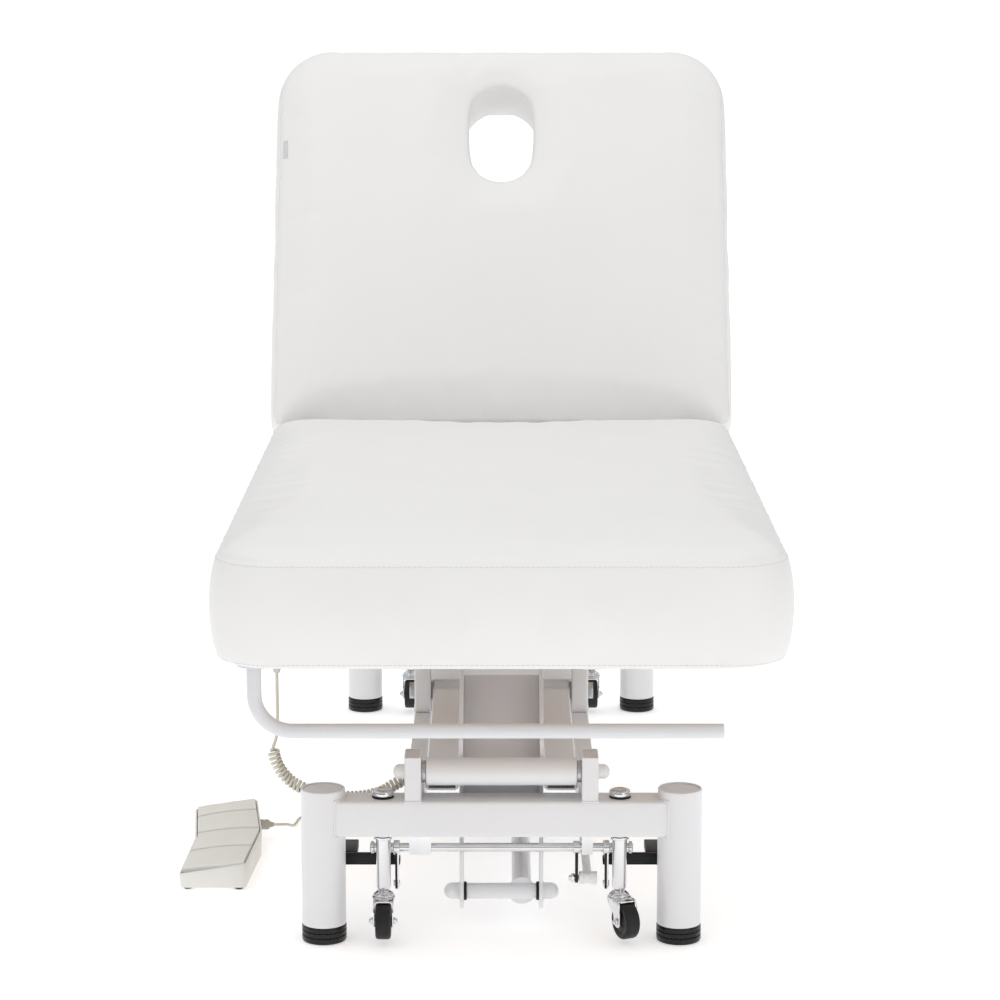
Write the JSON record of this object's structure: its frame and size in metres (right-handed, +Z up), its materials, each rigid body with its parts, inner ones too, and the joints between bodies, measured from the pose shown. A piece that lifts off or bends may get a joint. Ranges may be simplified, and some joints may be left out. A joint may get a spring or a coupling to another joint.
{
  "type": "facial treatment bed",
  "caption": "Electric facial bed: padded seat and tilting backrest with a face hole on a four-post lifting base, with castors that drop by foot, a paper-roll bar and a foot control.",
  "frame": {"origin": "centre of the outline in plan, at floor level", "axes": "+X to the right of a person standing at the foot end and facing the backrest, +Y from the foot end towards the head end, +Z up"},
  "size_m": [0.84, 1.5999, 1.1723],
  "materials": {
    "frame_paint": "satin",
    "grey_paint": "satin",
    "grey_plastic": "satin",
    "foot_rubber": "satin",
    "chrome": "polished",
    "steel": "satin",
    "black_steel": "satin",
    "white_plastic": "gloss",
    "motor_plastic": "satin",
    "plywood": "matte",
    "vinyl": "satin",
    "castor_rubber": "satin",
    "cream_plastic": "satin",
    "lead_sheath": "satin"
  },
  "bodies": {
    "base": {"leg_posts": "frame_paint", "tube_plugs": "grey_plastic", "rubber_feet": "foot_rubber", "end_beams": "frame_paint", "base_rails": "frame_paint", "pivot_uprights": "frame_paint", "actuator_crossbar": "frame_paint", "castor_bearings": "chrome", "lower_pivot_bolts": "steel", "pivot_nut_caps": "white_plastic", "control_housing": "cream_plastic", "control_lead_in": "lead_sheath", "control_lead_out": "lead_sheath", "control_lead_coil": "lead_sheath"},
    "front_arms": {"front_lift_arms": "frame_paint", "lead_clip": "white_plastic", "crank_cheeks": "frame_paint", "crank_web": "grey_paint", "crank_bolt": "black_steel", "crank_caps": "white_plastic"},
    "rear_arms": {"rear_lift_arms": "frame_paint"},
    "push_rod": {"push_rod": "frame_paint"},
    "lift_motor": {"lift_actuator": "motor_plastic"},
    "upper_frame": {"frame_rails": "frame_paint", "frame_crossbars": "frame_paint", "drop_brackets": "frame_paint", "upper_pivot_bolts": "steel", "hinge_ears": "steel", "seat_board": "plywood", "seat_cushion": "vinyl", "paper_bar": "frame_paint", "control_box": "motor_plastic", "curled_lead_drop": "lead_sheath", "curled_lead_coil": "lead_sheath"},
    "back_motor": {"back_actuator": "motor_plastic"},
    "back_rod": {"back_actuator_rod": "steel"},
    "backrest": {"backrest_board": "plywood", "backrest_cushion": "vinyl", "backrest_frame": "frame_paint", "hinge_straps": "steel"},
    "shaft_front": {"castor_shaft_front": "chrome", "foot_bars": "black_steel"},
    "shaft_rear": {"castor_shaft_rear": "chrome"},
    "shaft_link": {"castor_link": "frame_paint"},
    "stem_fl": {"castor_stem_fl": "chrome"},
    "fork_fl": {"castor_fork_fl": "chrome"},
    "wheel_fl": {"castor_wheel_fl": "castor_rubber"},
    "stem_fr": {"castor_stem_fr": "chrome"},
    "fork_fr": {"castor_fork_fr": "chrome"},
    "wheel_fr": {"castor_wheel_fr": "castor_rubber"},
    "stem_rl": {"castor_stem_rl": "chrome"},
    "fork_rl": {"castor_fork_rl": "chrome"},
    "wheel_rl": {"castor_wheel_rl": "castor_rubber"},
    "stem_rr": {"castor_stem_rr": "chrome"},
    "fork_rr": {"castor_fork_rr": "chrome"},
    "wheel_rr": {"castor_wheel_rr": "castor_rubber"},
    "tread_1": {"tread_1": "cream_plastic"},
    "tread_2": {"tread_2": "cream_plastic"},
    "tread_3": {"tread_3": "cream_plastic"},
    "tread_4": {"tread_4": "cream_plastic"}
  },
  "joints": [
    {"name": "lift", "type": "hinge", "parent": "base", "child": "front_arms", "pos_m": [0.055, -0.5075, 0.237], "axis": [1, 0, 0], "range_deg": [0, 37]},
    {"name": "seat_frame_pivot", "type": "hinge", "parent": "front_arms", "child": "upper_frame", "pos_m": [0.055, -0.019, 0.229], "axis": [1, 0, 0], "range_deg": [-37, 0]},
    {"name": "rear_arm_pivot", "type": "hinge", "parent": "base", "child": "rear_arms", "pos_m": [0.055, 0.261, 0.237], "axis": [1, 0, 0], "range_deg": [0, 37]},
    {"name": "push_rod_pivot", "type": "hinge", "parent": "front_arms", "child": "push_rod", "pos_m": [0.083, -0.461, 0.0535], "axis": [1, 0, 0], "range_deg": [-44, 0]},
    {"name": "lift_stroke", "type": "slide", "parent": "push_rod", "child": "lift_motor", "axis": [0, 0.9995, 0.033], "range_m": [-0.108, 0]},
    {"name": "backrest", "type": "hinge", "parent": "upper_frame", "child": "backrest", "pos_m": [0.055, 0.297, 0.585], "axis": [1, 0, 0], "range_deg": [-65, 10]},
    {"name": "back_motor_pivot", "type": "hinge", "parent": "upper_frame", "child": "back_motor", "pos_m": [0.055, 0.299, 0.335], "axis": [1, 0, 0], "range_deg": [-54.46, 8.8]},
    {"name": "back_stroke", "type": "slide", "parent": "back_motor", "child": "back_rod", "axis": [0, 0.7042, 0.71], "range_m": [-0.2488, 0.04]},
    {"name": "castor_drop", "type": "hinge", "parent": "base", "child": "shaft_front", "pos_m": [0.055, -0.489, 0.1245], "axis": [-1, 0, 0], "range_deg": [0, 30]},
    {"name": "rear_castor_shaft", "type": "hinge", "parent": "base", "child": "shaft_rear", "pos_m": [0.055, 0.788, 0.1245], "axis": [-1, 0, 0], "range_deg": [0, 30]},
    {"name": "castor_link_pivot", "type": "hinge", "parent": "shaft_front", "child": "shaft_link", "pos_m": [0.158, -0.489, 0.081], "axis": [-1, 0, 0], "range_deg": [-30, 0]},
    {"name": "stem_slide_fl", "type": "slide", "parent": "base", "child": "stem_fl", "axis": [0, 0, -1], "range_m": [0, 0.021]},
    {"name": "swivel_fl", "type": "hinge", "parent": "stem_fl", "child": "fork_fl", "pos_m": [-0.106, -0.5075, 0.06], "axis": [0, 0, 1], "continuous": true},
    {"name": "wheel_spin_fl", "type": "hinge", "parent": "fork_fl", "child": "wheel_fl", "pos_m": [-0.106, -0.5275, 0.032], "axis": [1, 0, 0], "continuous": true},
    {"name": "stem_slide_fr", "type": "slide", "parent": "base", "child": "stem_fr", "axis": [0, 0, -1], "range_m": [0, 0.021]},
    {"name": "swivel_fr", "type": "hinge", "parent": "stem_fr", "child": "fork_fr", "pos_m": [0.216, -0.5075, 0.06], "axis": [0, 0, 1], "continuous": true},
    {"name": "wheel_spin_fr", "type": "hinge", "parent": "fork_fr", "child": "wheel_fr", "pos_m": [0.22445, -0.52563, 0.032], "axis": [0.9063, 0.4226, 0], "continuous": true},
    {"name": "stem_slide_rl", "type": "slide", "parent": "base", "child": "stem_rl", "axis": [0, 0, -1], "range_m": [0, 0.021]},
    {"name": "swivel_rl", "type": "hinge", "parent": "stem_rl", "child": "fork_rl", "pos_m": [-0.106, 0.7695, 0.06], "axis": [0, 0, 1], "continuous": true},
    {"name": "wheel_spin_rl", "type": "hinge", "parent": "fork_rl", "child": "wheel_rl", "pos_m": [-0.106, 0.7495, 0.032], "axis": [1, 0, 0], "continuous": true},
    {"name": "stem_slide_rr", "type": "slide", "parent": "base", "child": "stem_rr", "axis": [0, 0, -1], "range_m": [0, 0.021]},
    {"name": "swivel_rr", "type": "hinge", "parent": "stem_rr", "child": "fork_rr", "pos_m": [0.216, 0.7695, 0.06], "axis": [0, 0, 1], "continuous": true},
    {"name": "wheel_spin_rr", "type": "hinge", "parent": "fork_rr", "child": "wheel_rr", "pos_m": [0.216, 0.7495, 0.032], "axis": [1, 0, 0], "continuous": true},
    {"name": "tread_press_1", "type": "hinge", "parent": "base", "child": "tread_1", "pos_m": [-0.397, -0.2442, 0.0256], "axis": [0, 1, 0], "range_deg": [0, 2.5], "stiffness_Nm_per_rad": 8, "springref_deg": -4.58},
    {"name": "tread_press_2", "type": "hinge", "parent": "base", "child": "tread_2", "pos_m": [-0.397, -0.1552, 0.0256], "axis": [0, 1, 0], "range_deg": [0, 2.5], "stiffness_Nm_per_rad": 8, "springref_deg": -4.58},
    {"name": "tread_press_3", "type": "hinge", "parent": "base", "child": "tread_3", "pos_m": [-0.397, -0.0618, 0.0256], "axis": [0, 1, 0], "range_deg": [0, 2.5], "stiffness_Nm_per_rad": 8, "springref_deg": -4.58},
    {"name": "tread_press_4", "type": "hinge", "parent": "base", "child": "tread_4", "pos_m": [-0.397, 0.0235, 0.0256], "axis": [0, 1, 0], "range_deg": [0, 2.5], "stiffness_Nm_per_rad": 8, "springref_deg": -4.58}
  ],
  "couplings": [
    {"joint": "seat_frame_pivot", "follows": "lift", "ratio": -1},
    {"joint": "rear_arm_pivot", "follows": "lift", "ratio": 1},
    {"joint": "push_rod_pivot", "follows": "lift", "ratio": -1.173},
    {"joint": "lift_stroke", "follows": "lift", "m_per_rad": -0.16422},
    {"joint": "back_motor_pivot", "follows": "backrest", "ratio": 0.83016},
    {"joint": "back_stroke", "follows": "backrest", "m_per_rad": 0.21752},
    {"joint": "rear_castor_shaft", "follows": "castor_drop", "ratio": 1},
    {"joint": "castor_link_pivot", "follows": "castor_drop", "ratio": -1},
    {"joint": "stem_slide_fl", "follows": "castor_drop", "m_per_rad": 0.04},
    {"joint": "stem_slide_fr", "follows": "castor_drop", "m_per_rad": 0.04},
    {"joint": "stem_slide_rl", "follows": "castor_drop", "m_per_rad": 0.04},
    {"joint": "stem_slide_rr", "follows": "castor_drop", "m_per_rad": 0.04}
  ]
}
